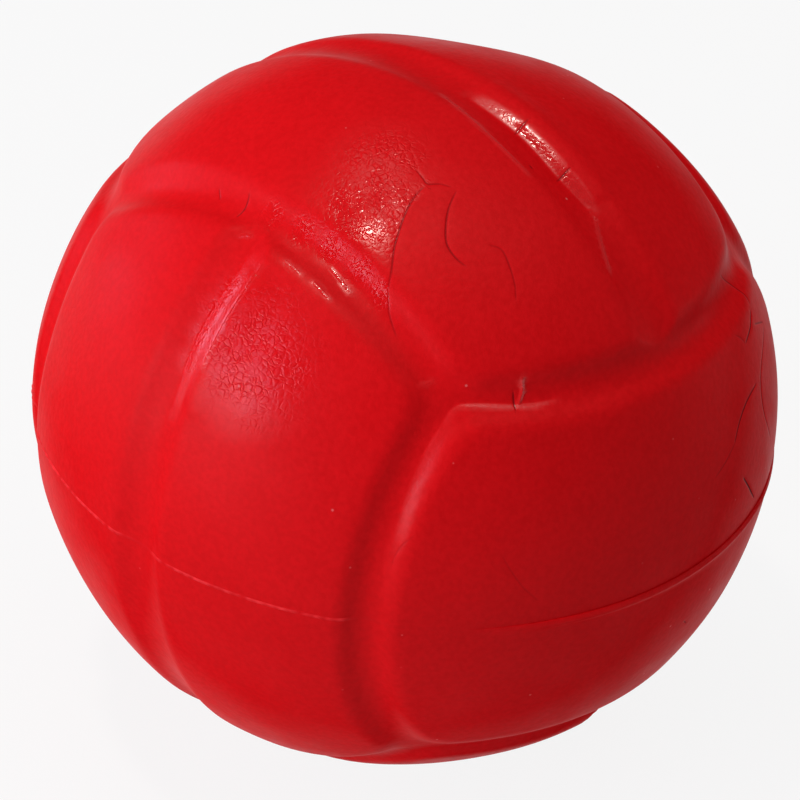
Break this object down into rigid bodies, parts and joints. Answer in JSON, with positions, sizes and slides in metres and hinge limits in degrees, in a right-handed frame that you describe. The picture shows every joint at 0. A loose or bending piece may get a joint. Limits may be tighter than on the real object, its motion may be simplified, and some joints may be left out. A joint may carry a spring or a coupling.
{
  "type": "rubber dog ball",
  "caption": "Hollow rubber dog ball for fetching and chewing, with bowed grooves in the pattern of a sports ball, moulded as half shells that are bonded along a seam around the middle.",
  "frame": {"origin": "centre of the ball", "axes": "+Z along the mould axis, square to the plane of the seam; +X through the middle of a plain face, which the seam crosses; +Y through the middle of a face that a groove along Z splits in two"},
  "size_m": [0.0652, 0.065, 0.0648],
  "materials": {
    "red_rubber": "satin, with a fine moulded grain",
    "bond_rubber": "satin, trimmed flash"
  },
  "bodies": {
    "root": {"upper_half_shell": "red_rubber", "lower_half_shell": "red_rubber", "seam_bond": "bond_rubber"}
  },
  "joints": []
}
